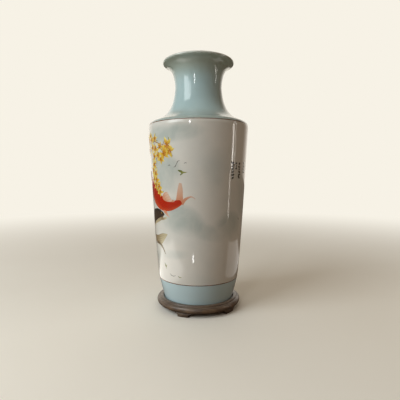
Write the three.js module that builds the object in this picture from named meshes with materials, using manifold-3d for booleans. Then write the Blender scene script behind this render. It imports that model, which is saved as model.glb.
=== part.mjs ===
// A shouldered porcelain vase on its fitted round hardwood stand.
// Millimetres, +Z up. The origin is on the vase's axis, on the plane that the stand's feet rest on,
// and -Y is the front.
import * as THREE from 'three';
import { mergeVertices } from 'three/addons/utils/BufferGeometryUtils.js';
import Module from 'manifold-3d';

// ---- Driving dimensions -------------------------------------------------------------------------

// The vase. Heights are measured from the plane that its foot ring rests on.
const FOOT_RADIUS = 49.9; // outside of the foot ring, just above its bevel
const FOOT_BEVEL = 1.3; // bevel round the foot ring's resting edge
const FOOT_RING_WIDTH = 5.2; // flat, unglazed resting face
const FOOT_RECESS = 6; // how far the base is hollowed inside the foot ring
const FOOT_RING_SLOPE = 0.8; // the resting ring's inner face leans in by this much ...
const FOOT_RING_COVE = 3; // ... and runs into the hollow with a cove of this width
const FOOT_RING_COVE_RISE = 1.4;
const BAND_HEIGHT = 36; // top of the tapering lower band
const BAND_FLARE = 8.1; // how far the band widens from the foot to its top
const SHOULDER_HEIGHT = 244; // where the long side ends and the shoulder turns in
const SHOULDER_RADIUS = 71.5;
const SHOULDER_TURN = 10.6; // rise of the rounded shoulder corner
const SHOULDER_TURN_DEPTH = 5; // how far the corner has come in by its top
const NECK_RISE = 48.4; // from the top of the shoulder corner to the narrowest place of the neck
const NECK_RADIUS = 33.6;
const LIP_RISE = 33.4; // from the narrowest neck to the underside of the lip's edge
const LIP_FLARE = 15.8; // how far the lip's edge stands out from the neck
const WALL = 4; // thickness of the thrown wall, and of the rounded lip
const FLOOR_THICKNESS = 6;
const FLOOR_FILLET = 9; // inside corner between floor and wall

// The stand's ring. Its rim stands up around the vase's foot.
const STAND_FOOT_HEIGHT = 5.6; // clear height under the ring
const LEDGE_THICKNESS = 2.9; // shelf that carries the floor board
const LEDGE_WIDTH = 6.3;
const BOARD_THICKNESS = 3.1;
const RIM_RISE = 4.8; // rim above the floor board
const SEAT_GAP = 0.8; // open line between the vase and the rim
const BEAD_RADIUS = 2.2; // the fine bead along the rim's top
const BEAD_FLAT = 2.8; // flat of the rim inside the bead
const BEAD_SINK = 0.4; // the bead's centre lies this far under the top of the large moulding
const BEAD_OVERLAP = 0.2; // the large moulding's centre lies this far inside the bead's outer edge
const RIM_EASE = 0.6; // bevel along the rim's inner edge
const GROOVE_WIDTH = 0.6; // the sunk line between bead and moulding
const GROOVE_DEPTH = 0.5;
const BOARD_EASE = 0.4; // eased edges of the floor board

// The feet, and the dowels that hold them.
const FOOT_COUNT = 5;
const FIRST_FOOT_TURN = -22; // degrees from the front, turning towards +X
const BRACKET_TOP_WIDTH = 24;
const BRACKET_WAIST_WIDTH = 14.5;
const BRACKET_TOE_WIDTH = 16;
const BRACKET_SWEEP = 2.4; // hollow of the curve under the wings
const BRACKET_LIP = 0.9; // upright edge at the top of the bracket's wings
const BRACKET_DEPTH = 16; // from the outer face towards the middle of the stand
const BRACKET_REACH = 1.8; // outer face in front of the lowest line of the moulding
const TOE_CUT_IN = 0.7; // how far the outer face draws in at the ground
const FOOT_BELLY = 1.1; // fullness of the outer face at half its height
const DOWEL_RADIUS = 2.2;
const DOWEL_IN_FOOT = 2.6;
const DOWEL_COVER = 0.6; // wood left between a dowel hole and the recess above it
const GLUE_GAP = 0.3; // room around a glued or let-in piece
const BLANK_MARGIN = 1; // spare size of a foot's blank before it is cut to shape

// Smoothness of the round work.
const VASE_SIDES = 48;
const RING_SIDES = 60;
const DOWEL_SIDES = 16;

// ---- Sizes that follow --------------------------------------------------------------------------

const LEDGE_TOP = STAND_FOOT_HEIGHT + LEDGE_THICKNESS;
const SEAT_HEIGHT = LEDGE_TOP + BOARD_THICKNESS;
const RIM_TOP = SEAT_HEIGHT + RIM_RISE;

// The large rounded moulding fills what the bead leaves of the ring's height.
const BULGE_RADIUS = (RIM_TOP - BEAD_RADIUS + BEAD_SINK - STAND_FOOT_HEIGHT) / 2;

const BAND_RADIUS = FOOT_RADIUS + BAND_FLARE;
const NECK_HEIGHT = SHOULDER_HEIGHT + SHOULDER_TURN + NECK_RISE;

// ---- Materials ----------------------------------------------------------------------------------

const finish = (color, roughness) => () => new THREE.MeshStandardMaterial({ color, roughness, metalness: 0 });
const glazedPorcelain = finish('#d9dcd2', 0.12);
const darkHardwood = finish('#4b3a28', 0.42);
const paleDowelWood = finish('#b08d5c', 0.7);

// ---- Helpers ------------------------------------------------------------------------------------

const wasm = await Module();
wasm.setup();

const at = (radius, height) => new THREE.Vector2(radius, height);
const degrees = (angle) => THREE.MathUtils.degToRad(angle);

// Points of a curve, without its first one when it carries on from another stretch.
function stretch(curve, steps, carriesOn = false) {
  return curve.getPoints(steps).slice(carriesOn ? 1 : 0);
}

// An arc of a circle, from one angle to another in degrees, anticlockwise when the second is larger.
function arc(centre, radius, from, to, steps) {
  const curve = new THREE.EllipseCurve(
    centre.x, centre.y, radius, radius, degrees(from), degrees(to), to < from);
  return curve.getPoints(steps);
}

// A closed turned solid. The profile runs anticlockwise in the radius-height plane.
function turned(profile, sides) {
  const geometry = new THREE.LatheGeometry(profile, sides);
  geometry.rotateX(Math.PI / 2);
  return geometry;
}

function toSolid(geometry) {
  const bare = geometry.clone();
  bare.deleteAttribute('normal');
  bare.deleteAttribute('uv');
  const merged = mergeVertices(bare, 1e-4);
  const solid = new wasm.Manifold(new wasm.Mesh({
    numProp: 3,
    vertProperties: new Float32Array(merged.attributes.position.array),
    triVerts: new Uint32Array(merged.index.array),
  }));
  if (solid.volume() <= 0) throw new Error('a solid is inside out');
  return solid;
}

function toGeometry(solid) {
  const mesh = solid.getMesh();
  const geometry = new THREE.BufferGeometry();
  geometry.setAttribute('position', new THREE.BufferAttribute(new Float32Array(mesh.vertProperties), 3));
  geometry.setIndex(new THREE.BufferAttribute(new Uint32Array(mesh.triVerts), 1));
  geometry.computeVertexNormals();
  return geometry;
}

function namedMesh(name, geometry, material) {
  const mesh = new THREE.Mesh(geometry, material);
  mesh.name = name;
  return mesh;
}

// ---- The vase -----------------------------------------------------------------------------------

// The outside of the vase, from just above the foot's bevel to the underside of the lip's edge.
function vaseOutside() {
  const band = at(BAND_RADIUS, BAND_HEIGHT);
  const shoulder = at(SHOULDER_RADIUS, SHOULDER_HEIGHT);
  const corner = at(SHOULDER_RADIUS - SHOULDER_TURN_DEPTH, SHOULDER_HEIGHT + SHOULDER_TURN);
  const neck = at(NECK_RADIUS, NECK_HEIGHT);
  const bandRise = BAND_HEIGHT - FOOT_BEVEL;
  const sideRise = SHOULDER_HEIGHT - BAND_HEIGHT;
  const neckRise = NECK_HEIGHT - corner.y;
  const neckReach = corner.x - NECK_RADIUS;
  const lowerBand = new THREE.CubicBezierCurve(
    at(FOOT_RADIUS, FOOT_BEVEL),
    at(FOOT_RADIUS + 0.34 * (BAND_RADIUS - FOOT_RADIUS), FOOT_BEVEL + 0.33 * bandRise),
    at(BAND_RADIUS - 0.21 * (BAND_RADIUS - FOOT_RADIUS), FOOT_BEVEL + 0.69 * bandRise),
    band);
  const side = new THREE.CubicBezierCurve(
    band,
    at(BAND_RADIUS + 0.4 * (SHOULDER_RADIUS - BAND_RADIUS), BAND_HEIGHT + 0.253 * sideRise),
    at(BAND_RADIUS + 0.704 * (SHOULDER_RADIUS - BAND_RADIUS), BAND_HEIGHT + 0.67 * sideRise),
    shoulder);
  const shoulderCorner = new THREE.CubicBezierCurve(
    shoulder,
    at(SHOULDER_RADIUS + 0.3, SHOULDER_HEIGHT + 0.55 * SHOULDER_TURN),
    at(SHOULDER_RADIUS - 0.16 * SHOULDER_TURN_DEPTH, SHOULDER_HEIGHT + 0.78 * SHOULDER_TURN),
    corner);
  const shoulderAndNeck = new THREE.CubicBezierCurve(
    corner,
    at(corner.x - 0.47 * neckReach, corner.y + 0.132 * neckRise),
    at(NECK_RADIUS + 0.073 * neckReach, corner.y + 0.267 * neckRise),
    neck);
  const lipFlare = new THREE.CubicBezierCurve(
    neck,
    at(NECK_RADIUS, NECK_HEIGHT + 0.48 * LIP_RISE),
    at(NECK_RADIUS + 0.25 * LIP_FLARE, NECK_HEIGHT + 0.9 * LIP_RISE),
    at(NECK_RADIUS + LIP_FLARE, NECK_HEIGHT + LIP_RISE));
  return [
    ...stretch(lowerBand, 5),
    ...stretch(side, 8, true),
    ...stretch(shoulderCorner, 5, true),
    ...stretch(shoulderAndNeck, 9, true),
    ...stretch(lipFlare, 7, true),
  ];
}

// The outside moved inwards by the wall's thickness, square to itself.
function insetBy(points, distance) {
  return points.map((point, i) => {
    const before = points[Math.max(i - 1, 0)];
    const after = points[Math.min(i + 1, points.length - 1)];
    const along = after.clone().sub(before).normalize();
    return at(point.x - along.y * distance, point.y + along.x * distance);
  });
}

function radiusAtHeight(points, height) {
  const above = points.findIndex((point) => point.y >= height);
  const low = points[above - 1];
  const high = points[above];
  return THREE.MathUtils.mapLinear(height, low.y, high.y, low.x, high.x);
}

function vaseProfile(outside) {
  const inside = insetBy(outside, WALL);
  const floorTop = FOOT_RECESS + FLOOR_THICKNESS;
  const filletTop = floorTop + FLOOR_FILLET;
  const wallPoints = inside.filter((point) => point.y > filletTop + 1);
  const wallFoot = at(radiusAtHeight(inside, filletTop), filletTop);
  const floorFillet = new THREE.QuadraticBezierCurve(
    wallFoot, at(wallFoot.x - 1, floorTop), at(wallFoot.x - FLOOR_FILLET, floorTop));
  const lipUnder = outside.at(-1);
  const lipOver = inside.at(-1);
  const lipCentre = lipUnder.clone().add(lipOver).multiplyScalar(0.5);
  const lipStart = THREE.MathUtils.radToDeg(lipUnder.clone().sub(lipCentre).angle());
  const lipEdge = arc(lipCentre, WALL / 2, lipStart - 360, lipStart - 180, 6);
  const ringOuter = FOOT_RADIUS - FOOT_BEVEL;
  const ringInner = ringOuter - FOOT_RING_WIDTH;
  return [
    at(0, FOOT_RECESS),
    at(ringInner - FOOT_RING_COVE, FOOT_RECESS),
    at(ringInner - FOOT_RING_SLOPE, FOOT_RECESS - FOOT_RING_COVE_RISE),
    at(ringInner, 0),
    at(ringOuter, 0),
    ...outside,
    ...lipEdge.slice(1, -1),
    ...wallPoints.reverse(),
    ...stretch(floorFillet, 5),
    at(0, floorTop),
  ];
}

const outside = vaseOutside();
const vaseBody = namedMesh('vase_body', turned(vaseProfile(outside), VASE_SIDES), glazedPorcelain());
vaseBody.position.z = SEAT_HEIGHT;

// ---- The stand's ring and floor board -----------------------------------------------------------

const recessRadius = radiusAtHeight(outside, RIM_RISE) + SEAT_GAP;
const ledgeRadius = recessRadius - LEDGE_WIDTH;
const beadCentre = at(recessRadius + BEAD_FLAT, RIM_TOP - BEAD_RADIUS);
const bulgeCentre = at(beadCentre.x + BEAD_RADIUS - BEAD_OVERLAP, STAND_FOOT_HEIGHT + BULGE_RADIUS);
const bulgeTop = STAND_FOOT_HEIGHT + 2 * BULGE_RADIUS;
const footOuter = bulgeCentre.x + BRACKET_REACH;
const dowelRadiusOut = (ledgeRadius + bulgeCentre.x) / 2; // the middle of the face that the foot and ring share

function ringProfile() {
  const grooveOuter = beadCentre.x + BEAD_RADIUS + GROOVE_WIDTH;
  const bulgeEnd = THREE.MathUtils.radToDeg(Math.acos((grooveOuter - bulgeCentre.x) / BULGE_RADIUS));
  return [
    at(ledgeRadius, STAND_FOOT_HEIGHT),
    ...arc(bulgeCentre, BULGE_RADIUS, -90, bulgeEnd, 12),
    at(grooveOuter, bulgeTop - GROOVE_DEPTH),
    at(beadCentre.x + BEAD_RADIUS, bulgeTop - GROOVE_DEPTH),
    ...arc(beadCentre, BEAD_RADIUS, 0, 90, 5),
    at(recessRadius + RIM_EASE, RIM_TOP),
    at(recessRadius, RIM_TOP - RIM_EASE),
    at(recessRadius, LEDGE_TOP),
    at(ledgeRadius, LEDGE_TOP),
    at(ledgeRadius, STAND_FOOT_HEIGHT),
  ];
}

function dowelGeometry(radius, bottom, top) {
  const geometry = new THREE.CylinderGeometry(radius, radius, top - bottom, DOWEL_SIDES);
  geometry.rotateX(Math.PI / 2);
  geometry.translate(0, -dowelRadiusOut, (top + bottom) / 2);
  return geometry;
}

const dowelBottom = STAND_FOOT_HEIGHT - DOWEL_IN_FOOT;
const dowelTop = LEDGE_TOP - DOWEL_COVER - GLUE_GAP;
const dowelHole = dowelGeometry(DOWEL_RADIUS + GLUE_GAP, dowelBottom - GLUE_GAP, dowelTop + GLUE_GAP);
const footTurns = Array.from(
  { length: FOOT_COUNT }, (_, i) => degrees(FIRST_FOOT_TURN + (i * 360) / FOOT_COUNT));

let ringSolid = toSolid(turned(ringProfile(), RING_SIDES));
for (const turn of footTurns) {
  ringSolid = ringSolid.subtract(toSolid(dowelHole.clone().rotateZ(turn)));
}
const standRing = namedMesh('stand_ring', toGeometry(ringSolid), darkHardwood());

const boardRadius = recessRadius - GLUE_GAP;
const standBoard = namedMesh('stand_floor_board', turned([
  at(0, LEDGE_TOP),
  at(boardRadius - BOARD_EASE, LEDGE_TOP),
  at(boardRadius, LEDGE_TOP + BOARD_EASE),
  at(boardRadius, SEAT_HEIGHT - BOARD_EASE),
  at(boardRadius - BOARD_EASE, SEAT_HEIGHT),
  at(0, SEAT_HEIGHT),
], RING_SIDES), darkHardwood());

// ---- The bracket feet ---------------------------------------------------------------------------

// A foot seen from outside: wings that sweep down in a hollow curve to a waist, then a small toe.
function bracketOutline() {
  const top = BRACKET_TOP_WIDTH / 2;
  const waist = BRACKET_WAIST_WIDTH / 2;
  const toe = BRACKET_TOE_WIDTH / 2;
  const wingHeight = STAND_FOOT_HEIGHT - BRACKET_LIP;
  const waistHeight = 0.34 * STAND_FOOT_HEIGHT;
  const outline = new THREE.Shape();
  outline.moveTo(-toe, 0);
  outline.lineTo(toe, 0);
  outline.quadraticCurveTo(waist, 0.12 * STAND_FOOT_HEIGHT, waist, waistHeight);
  outline.bezierCurveTo(waist, 0.62 * wingHeight, top - BRACKET_SWEEP, 0.72 * wingHeight, top, wingHeight);
  outline.lineTo(top, STAND_FOOT_HEIGHT);
  outline.lineTo(-top, STAND_FOOT_HEIGHT);
  outline.lineTo(-top, wingHeight);
  outline.bezierCurveTo(
    -(top - BRACKET_SWEEP), 0.72 * wingHeight, -waist, 0.62 * wingHeight, -waist, waistHeight);
  outline.quadraticCurveTo(-waist, 0.12 * STAND_FOOT_HEIGHT, -toe, 0);
  return outline;
}

// The ring-shaped envelope that gives the feet their round outer and inner faces.
function footEnvelope() {
  const inner = footOuter - BRACKET_DEPTH;
  const outerFace = new THREE.QuadraticBezierCurve(
    at(footOuter - TOE_CUT_IN, -BLANK_MARGIN),
    at(footOuter + FOOT_BELLY, 0.55 * STAND_FOOT_HEIGHT),
    at(footOuter, STAND_FOOT_HEIGHT));
  const profile = [
    at(inner, -BLANK_MARGIN),
    ...stretch(outerFace, 5),
    at(inner, STAND_FOOT_HEIGHT),
    at(inner, -BLANK_MARGIN),
  ];
  return toSolid(turned(profile, RING_SIDES));
}

function footGeometry() {
  const blankOuter = footOuter + 3 * BLANK_MARGIN;
  const depth = BRACKET_DEPTH + 6 * BLANK_MARGIN;
  const blank = new THREE.ExtrudeGeometry(
    bracketOutline(), { depth, steps: 1, bevelEnabled: false, curveSegments: 7 });
  blank.rotateX(Math.PI / 2);
  blank.translate(0, -(blankOuter - depth), 0);
  return toGeometry(toSolid(blank).intersect(footEnvelope()).subtract(toSolid(dowelHole)));
}

// ---- The assembly -------------------------------------------------------------------------------

const group = new THREE.Group();
const stand = new THREE.Group();
stand.add(standRing, standBoard);

const foot = footGeometry();
const dowel = dowelGeometry(DOWEL_RADIUS, dowelBottom, dowelTop);
footTurns.forEach((turn, i) => {
  const place = new THREE.Group();
  place.rotation.z = turn;
  place.add(namedMesh(`stand_foot_${i + 1}`, foot, darkHardwood()));
  place.add(namedMesh(`foot_dowel_${i + 1}`, dowel, paleDowelWood()));
  stand.add(place);
});

group.add(stand, vaseBody);

export default group;
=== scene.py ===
import bisect
import math
import random
import bpy
import bmesh
from mathutils import Matrix, Vector


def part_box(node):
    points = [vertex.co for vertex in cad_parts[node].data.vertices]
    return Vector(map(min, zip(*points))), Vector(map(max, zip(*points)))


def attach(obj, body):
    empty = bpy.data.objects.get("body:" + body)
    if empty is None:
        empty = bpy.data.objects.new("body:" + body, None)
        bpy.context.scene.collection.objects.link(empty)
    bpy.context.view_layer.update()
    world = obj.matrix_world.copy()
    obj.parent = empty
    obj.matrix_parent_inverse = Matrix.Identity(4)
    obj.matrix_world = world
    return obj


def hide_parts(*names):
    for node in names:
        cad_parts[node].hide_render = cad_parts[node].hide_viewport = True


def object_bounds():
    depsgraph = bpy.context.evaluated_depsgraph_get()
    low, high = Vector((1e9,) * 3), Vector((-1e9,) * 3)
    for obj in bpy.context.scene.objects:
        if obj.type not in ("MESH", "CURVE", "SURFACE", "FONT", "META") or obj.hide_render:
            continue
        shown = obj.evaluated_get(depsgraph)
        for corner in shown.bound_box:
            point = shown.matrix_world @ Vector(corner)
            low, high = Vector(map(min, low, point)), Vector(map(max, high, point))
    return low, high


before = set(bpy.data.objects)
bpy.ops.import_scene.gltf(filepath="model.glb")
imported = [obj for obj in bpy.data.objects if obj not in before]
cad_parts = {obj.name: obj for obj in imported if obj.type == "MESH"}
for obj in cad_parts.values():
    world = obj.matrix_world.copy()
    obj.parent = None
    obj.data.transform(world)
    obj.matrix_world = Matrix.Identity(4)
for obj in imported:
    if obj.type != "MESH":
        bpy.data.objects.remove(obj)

cad_low, cad_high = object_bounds()
MM = 0.001
scene = bpy.context.scene

# ---- Sizes of the finish, which the CAD leaves out ----

vase_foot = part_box("vase_body")[0].z
UPPER_LINE_HEIGHT = vase_foot + 250.2 * MM  # brown line where the shoulder turns in
LOWER_LINE_HEIGHT = vase_foot + 32.6 * MM  # brown line above the tapering band
LINE_WIDTH = 1.15 * MM
LINE_RELIEF = 0.10 * MM
LINE_EDGE = 0.01 * MM  # how deep a line's edges lie in the glaze
LINE_SUNK = 0.12 * MM  # how deep its underside does
FOOT_EASE = 0.7 * MM  # how far the corners of the vase's foot are rounded
LINE_BLUR = 0.2 * MM  # half of the height over which one glaze gives way to the next, under a line
WHEEL_SIDES = 256  # round work of the vase
LATHE_SIDES = 240  # round work of the stand

# Points nearer than these count as one point, as on a plane, as on the axis, and as level.
SAME_POINT, ON_PLANE, ON_AXIS, LEVEL = 1e-7, 2e-6, 1e-5, 1e-6


# ---- Small helpers ----

def between(low, high, share):
    return low + (high - low) * share


def smooth_through(points, steps):
    """Points of a smooth curve through the given ones, which may have any number of coordinates."""
    knots = [Vector(p) for p in points]
    made = []
    for i in range(len(knots) - 1):
        before = knots[max(i - 1, 0)]
        start, end = knots[i], knots[i + 1]
        after = knots[min(i + 2, len(knots) - 1)]
        for step in range(steps):
            t = step / steps
            made.append(0.5 * (2 * start + (end - before) * t
                               + (2 * before - 5 * start + 4 * end - after) * t * t
                               + (3 * start - before - 3 * end + after) * t ** 3))
    made.append(knots[-1])
    return made


def arc_points(centre, radius, start, end, steps):
    """Points of an arc in the radius-height plane, between two angles in degrees."""
    made = []
    for step in range(steps + 1):
        angle = math.radians(between(start, end, step / steps))
        made.append((centre[0] + radius * math.cos(angle), centre[1] + radius * math.sin(angle)))
    return made


def new_object(name, mesh):
    made = bpy.data.objects.new(name, mesh)
    scene.collection.objects.link(made)
    return made


def face_outwards(mesh):
    """Turns every face of a closed mesh outwards."""
    work = bmesh.new()
    work.from_mesh(mesh)
    bmesh.ops.remove_doubles(work, verts=work.verts, dist=SAME_POINT)
    bmesh.ops.recalc_face_normals(work, faces=work.faces)
    work.to_mesh(mesh)
    work.free()


def finish_piece(piece, body, material=None, sharp=40):
    """Smooth shading, a material, and the body that the piece belongs to."""
    mesh = piece.data
    mesh.shade_smooth()
    mesh.set_sharp_from_angle(angle=math.radians(sharp))
    if material:
        mesh.materials.clear()
        mesh.materials.append(material)
    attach(piece, body)
    return piece


# ---- Building node trees ----

def add(tree, kind, values=None, **settings):
    """A node of this kind, with its settings, and its inputs given by name or by number."""
    made = tree.nodes.new(kind)
    for key, value in settings.items():
        setattr(made, key, value)
    for key, value in (values or {}).items():
        if isinstance(value, bpy.types.NodeSocket):
            tree.links.new(value, made.inputs[key])
        else:
            made.inputs[key].default_value = value
    return made


def maths(tree, operation, a, b=0.0):
    return add(tree, "ShaderNodeMath", {0: a, 1: b}, operation=operation).outputs[0]


def plus(tree, a, b):
    return maths(tree, "ADD", a, b)


def minus(tree, a, b):
    return maths(tree, "SUBTRACT", a, b)


def times(tree, a, b):
    return maths(tree, "MULTIPLY", a, b)


def over(tree, a, b):
    return maths(tree, "DIVIDE", a, b)


def square(tree, a):
    return maths(tree, "POWER", a, 2.0)


def ramp_between(tree, value, low, high, out_low=0.0, out_high=1.0, kind="SMOOTHSTEP"):
    """A value that runs from out_low to out_high while the input runs from low to high."""
    return add(tree, "ShaderNodeMapRange", {
        "Value": value, "From Min": low, "From Max": high, "To Min": out_low, "To Max": out_high},
        interpolation_type=kind, clamp=True).outputs["Result"]


def colour(red, green, blue):
    """An 8-bit screen colour as a linear one with its alpha."""
    linear = [((c / 255 + 0.055) / 1.055) ** 2.4 if c > 10 else c / 255 / 12.92 for c in (red, green, blue)]
    return (*linear, 1.0)


def mix_colours(tree, share, first, second):
    """A mix of two colours, each a socket, three 8-bit screen values, or a linear colour with its alpha."""
    first, second = (colour(*c) if isinstance(c, tuple) and len(c) == 3 else c for c in (first, second))
    return add(tree, "ShaderNodeMix", {0: share, 6: first, 7: second}, data_type="RGBA").outputs[2]


def tinted(tree, under, share, strength, tint):
    """A colour with a tint over it, as far as the share goes and at this strength."""
    return mix_colours(tree, times(tree, share, strength), under, tint)


def noise(tree, where, scale, detail=3.0, roughness=0.5, distortion=0.0):
    return add(tree, "ShaderNodeTexNoise", {
        "Vector": where, "Scale": scale, "Detail": detail, "Roughness": roughness,
        "Distortion": distortion}).outputs["Fac"]


def stretched(tree, where, scale, turn=(0, 0, 0)):
    return add(tree, "ShaderNodeMapping", {"Vector": where, "Scale": scale, "Rotation": turn}).outputs[0]


def parts_of(tree, vector):
    """The X, Y and Z of a vector, by name."""
    return add(tree, "ShaderNodeSeparateXYZ", {0: vector}).outputs


def vector_of(tree, **parts):
    return add(tree, "ShaderNodeCombineXYZ", parts).outputs[0]


def bump(tree, height, distance, under=None):
    made = add(tree, "ShaderNodeBump", {"Height": height, "Distance": distance, "Strength": 1.0})
    if under:
        tree.links.new(under, made.inputs["Normal"])
    return made.outputs["Normal"]


def new_material(name):
    """A material with its principled shader and the piece's own coordinates in metres."""
    material = bpy.data.materials.new(name)
    material.use_nodes = True
    tree = material.node_tree
    return material, tree, tree.nodes["Principled BSDF"], add(tree, "ShaderNodeTexCoord").outputs["Object"]


def dress(tree, shader, skin, rough, normal, coat, coat_rough):
    """Joins up a finish's colour, roughness and bumps, under a clear layer."""
    for name, value in (("Base Color", skin), ("Roughness", rough), ("Normal", normal)):
        tree.links.new(value, shader.inputs[name])
    shader.inputs["Coat Weight"].default_value = coat
    shader.inputs["Coat Roughness"].default_value = coat_rough


def new_tree(name, inputs, output):
    """A geometry tree with these named kinds of input and one output, and the sockets it is given."""
    tree = bpy.data.node_groups.new(name, "GeometryNodeTree")
    for label, kind in inputs.items():
        tree.interface.new_socket(label, in_out="INPUT", socket_type="NodeSocket" + kind)
    tree.interface.new_socket(output, in_out="OUTPUT", socket_type="NodeSocketGeometry")
    return tree, add(tree, "NodeGroupInput").outputs


def end_tree(tree, made, material):
    """Ends a tree in plain geometry that wears its material."""
    real = add(tree, "GeometryNodeRealizeInstances", {0: made}).outputs[0]
    dressed = add(tree, "GeometryNodeSetMaterial", {"Geometry": real, "Material": material}).outputs[0]
    tree.links.new(dressed, add(tree, "NodeGroupOutput").inputs[0])
    return tree


# ---- Turned pieces ----

def turned_tree():
    """Carries the points of a profile round the axis and joins them into one closed skin."""
    tree, given = new_tree("turned on the wheel", {
        "Profile": "Geometry", "Sides": "Int", "Material": "Material"}, "Skin")
    size = add(tree, "GeometryNodeAttributeDomainSize", {"Geometry": given["Profile"]})
    count = size.outputs["Point Count"]
    around = plus(tree, given["Sides"], 1.0)
    grid = add(tree, "GeometryNodeMeshGrid", {"Vertices X": count, "Vertices Y": around}).outputs["Mesh"]
    index = add(tree, "GeometryNodeInputIndex").outputs["Index"]
    row = maths(tree, "FLOOR", over(tree, plus(tree, index, 0.5), around))
    column = minus(tree, index, times(tree, row, around))
    sample = add(tree, "GeometryNodeSampleIndex", {
        "Geometry": given["Profile"], "Index": row}, data_type="FLOAT_VECTOR")
    tree.links.new(add(tree, "GeometryNodeInputPosition").outputs[0], sample.inputs["Value"])
    point = parts_of(tree, sample.outputs["Value"])
    angle = times(tree, over(tree, column, given["Sides"]), math.tau)
    place = vector_of(
        tree, X=times(tree, point["X"], maths(tree, "SINE", angle)),
        Y=times(tree, point["X"], times(tree, maths(tree, "COSINE", angle), -1.0)), Z=point["Z"])
    placed = add(tree, "GeometryNodeSetPosition", {"Geometry": grid, "Position": place}).outputs[0]
    joined = add(tree, "GeometryNodeMergeByDistance", {"Geometry": placed, "Distance": SAME_POINT})
    return end_tree(tree, joined.outputs[0], given["Material"])


def grown_by(tree, name, mesh, settings):
    """The plain mesh that a node tree makes from a base mesh, as an object of its own."""
    made = new_object(name, mesh)
    modifier = made.modifiers.new(tree.name, "NODES")
    modifier.node_group = tree
    for item in tree.interface.items_tree:
        if item.in_out == "INPUT" and item.name in settings:
            modifier[item.identifier] = settings[item.name]
    graph = bpy.context.evaluated_depsgraph_get()
    result = bpy.data.meshes.new_from_object(
        made.evaluated_get(graph), preserve_all_data_layers=True, depsgraph=graph)
    made.modifiers.remove(modifier)
    made.data = result
    return made


TURNED = turned_tree()


def turned(name, profile, sides, material):
    """A closed turned piece from its profile of (radius, height) points."""
    base = bpy.data.meshes.new(name)
    base.from_pydata([(radius, 0, height) for radius, height in profile],
                     [(i, i + 1) for i in range(len(profile) - 1)], [])
    made = grown_by(TURNED, name, base, {"Sides": sides, "Material": material})
    face_outwards(made.data)
    return made


# ---- Reading the vase's profile from the frame ----

def meridian(node):
    """The (radius, height) points up one side of a turned CAD node, from pole to pole."""
    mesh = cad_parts[node].data
    points = {}
    neighbours = {}
    for polygon in mesh.polygons:
        kept = []
        for vertex in polygon.vertices:
            place = mesh.vertices[vertex].co
            if abs(place.y) < ON_PLANE and place.x > -ON_PLANE:
                key = (round(place.x, 5), round(place.z, 5))
                points[key] = (max(place.x, 0.0), place.z)
                kept.append(key)
        for first in kept:
            neighbours.setdefault(first, set()).update(key for key in kept if key != first)
    poles = sorted((key for key in points if key[0] < ON_AXIS), key=lambda key: key[1])
    walk = [poles[0]]
    while walk[-1] != poles[-1]:
        onward = [key for key in neighbours[walk[-1]] if key not in walk]
        walk.append(min(onward, key=lambda key: math.dist(key, walk[-1])))
    return [points[key] for key in walk]


vase_profile = meridian("vase_body")
top_point = max(range(len(vase_profile)), key=lambda i: vase_profile[i][1])
foot_edge = next(i for i, (radius, height) in enumerate(vase_profile)
                 if height < vase_foot + LEVEL and vase_profile[i + 1][1] > vase_foot + LEVEL)
outer_wall = vase_profile[foot_edge + 1:top_point + 1]
outer_curve = [tuple(p) for p in smooth_through(outer_wall, 12)]
outer_heights = [point[1] for point in outer_curve]


def vase_radius(height):
    """The vase's outside radius at a height on its wall."""
    above = bisect.bisect_left(outer_heights, height)
    if above == 0 or above == len(outer_curve):
        return outer_curve[min(above, len(outer_curve) - 1)][0]
    low, high = outer_curve[above - 1], outer_curve[above]
    return between(low[0], high[0], (height - low[1]) / max(high[1] - low[1], 1e-9))


def on_vase(turn, height, lift=0.0):
    """A point on the vase: turn is in radians from the front towards +X, and lift is out from the glaze."""
    slope = (vase_radius(height + MM) - vase_radius(height - MM)) / (2 * MM)
    lean = math.hypot(1.0, slope)
    out = vase_radius(height) + lift / lean
    return Vector((out * math.sin(turn), -out * math.cos(turn), height - lift * slope / lean))


# ---- The vase ----

NEARLY_STRAIGHT = 155  # degrees: a corner more open than this stays as it is
MOST_OF_SIDE = 0.45  # a rounded corner takes no more than this share of a side
CORNER_STEPS = 4


def rounded(profile, size):
    """A profile whose sharp corners are each replaced by a small arc-like curve."""
    made = [profile[0]]
    for before, corner, after in zip(profile, profile[1:], profile[2:]):
        back = Vector(before) - Vector(corner)
        on = Vector(after) - Vector(corner)
        turn = math.degrees(back.angle(on)) if back.length and on.length else 180
        reach = min(size, back.length * MOST_OF_SIDE, on.length * MOST_OF_SIDE)
        if turn > NEARLY_STRAIGHT or reach <= 0:
            made.append(tuple(corner))
            continue
        start = Vector(corner) + back.normalized() * reach
        end = Vector(corner) + on.normalized() * reach
        for step in range(CORNER_STEPS + 1):
            t = step / CORNER_STEPS
            made.append(tuple(start * (1 - t) ** 2 + Vector(corner) * 2 * t * (1 - t) + end * t * t))
    made.append(profile[-1])
    return made


def fine_vase_profile():
    """The CAD profile with its foot's corners eased and its walls drawn as smooth curves."""
    foot = rounded(vase_profile[:foot_edge + 2], FOOT_EASE)[:-1]
    floor_start = next(i for i in range(top_point, len(vase_profile))
                       if abs(vase_profile[i][1] - vase_profile[-1][1]) < LEVEL)
    skin = smooth_through(vase_profile[foot_edge + 1:floor_start + 1], 5)
    return foot + [tuple(p) for p in skin] + [vase_profile[-1]]


def make_vase(material):
    vase = turned("vase", fine_vase_profile(), WHEEL_SIDES, material)
    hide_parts("vase_body")
    return finish_piece(vase, "vase", sharp=60)


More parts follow.
